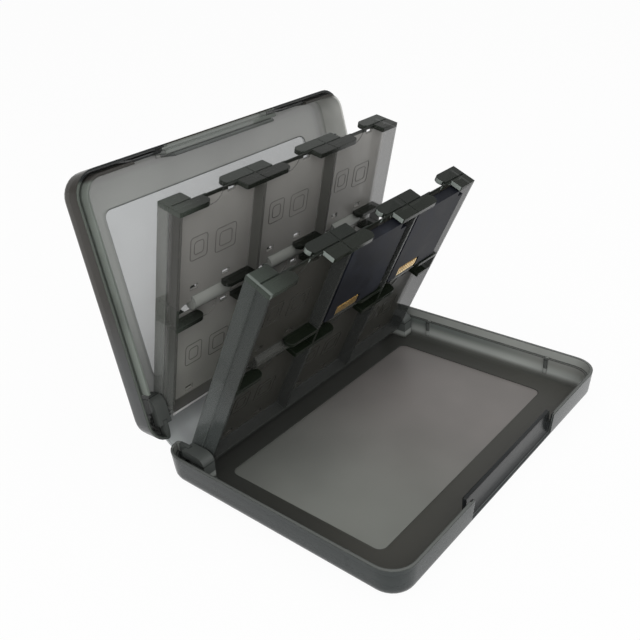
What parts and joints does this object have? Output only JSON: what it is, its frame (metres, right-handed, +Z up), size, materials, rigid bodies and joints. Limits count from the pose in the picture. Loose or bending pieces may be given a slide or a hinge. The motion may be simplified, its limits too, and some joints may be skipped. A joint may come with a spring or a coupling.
{
  "type": "game card case",
  "caption": "Hinged translucent plastic case for game cards, open, with two swinging double-sided card pages and two stored cards.",
  "frame": {"origin": "centre of the closed case's outline on the surface that the base shell's floor rests on", "axes": "+X along the hinge lines, +Y from the free edge towards the hinge, +Z up"},
  "size_m": [0.142, 0.138, 0.1097],
  "materials": {
    "smoke_shell": "smoke-grey translucent, glossy",
    "smoke_page": "smoke-grey translucent, glossy",
    "card_plastic": "fine matte",
    "contact_gold": "plated, bright"
  },
  "bodies": {
    "base": {"base_shell": "smoke_shell"},
    "spine": {"spine_panel": "smoke_shell"},
    "lid": {"lid_shell": "smoke_shell"},
    "rear_leaf": {"rear_page": "smoke_page", "rear_page_pin_left": "smoke_page", "rear_page_pin_right": "smoke_page"},
    "front_leaf": {"front_page": "smoke_page", "front_page_pin_left": "smoke_page", "front_page_pin_right": "smoke_page", "game_card_1": "card_plastic", "card_contacts_1": "contact_gold", "game_card_2": "card_plastic", "card_contacts_2": "contact_gold"}
  },
  "joints": [
    {"name": "spine_hinge", "type": "hinge", "parent": "base", "child": "spine", "pos_m": [0, 0.046, 0.0003], "axis": [1, 0, 0], "range_deg": [-30, 57.5]},
    {"name": "lid_hinge", "type": "hinge", "parent": "spine", "child": "lid", "pos_m": [0, 0.06548, 0.01271], "axis": [1, 0, 0], "range_deg": [-24, 45.8]},
    {"name": "rear_page_turn", "type": "hinge", "parent": "lid", "child": "rear_leaf", "pos_m": [0, 0.06036, 0.01803], "axis": [1, 0, 0], "range_deg": [-25.8, 13.5]},
    {"name": "front_page_turn", "type": "hinge", "parent": "base", "child": "front_leaf", "pos_m": [0, 0.042, 0.0065], "axis": [1, 0, 0], "range_deg": [-34.1, 65.2]}
  ],
  "couplings": [
    {"joint": "lid_hinge", "follows": "spine_hinge", "ratio": 0.79565},
    {"joint": "rear_page_turn", "follows": "spine_hinge", "ratio": -0.44696},
    {"joint": "front_page_turn", "follows": "spine_hinge", "ratio": 1.1322}
  ]
}
